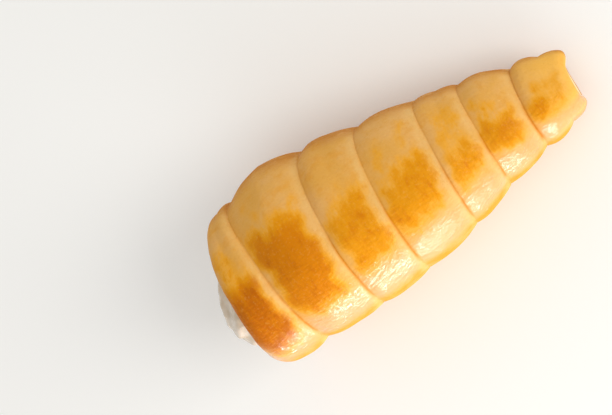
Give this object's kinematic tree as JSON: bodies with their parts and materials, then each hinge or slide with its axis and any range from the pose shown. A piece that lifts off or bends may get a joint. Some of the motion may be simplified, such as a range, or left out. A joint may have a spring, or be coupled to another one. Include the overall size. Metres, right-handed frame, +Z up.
{
  "type": "cream horn pastry",
  "caption": "Horn of coiled dough, baked golden brown, hollow and filled with cream that swells out of its wide mouth, lying on its side.",
  "frame": {"origin": "on the surface the horn lies on, under the middle of its box", "axes": "+X from the wide mouth to the narrow end, +Z up, the shown side facing up"},
  "size_m": [0.1376, 0.0604, 0.0613],
  "materials": {
    "crust": "baked dough, egg-washed, satin, browned in patches",
    "cream": "whipped cream, soft gloss"
  },
  "bodies": {
    "root": {"pastry": "crust", "cream": "cream"}
  },
  "joints": []
}
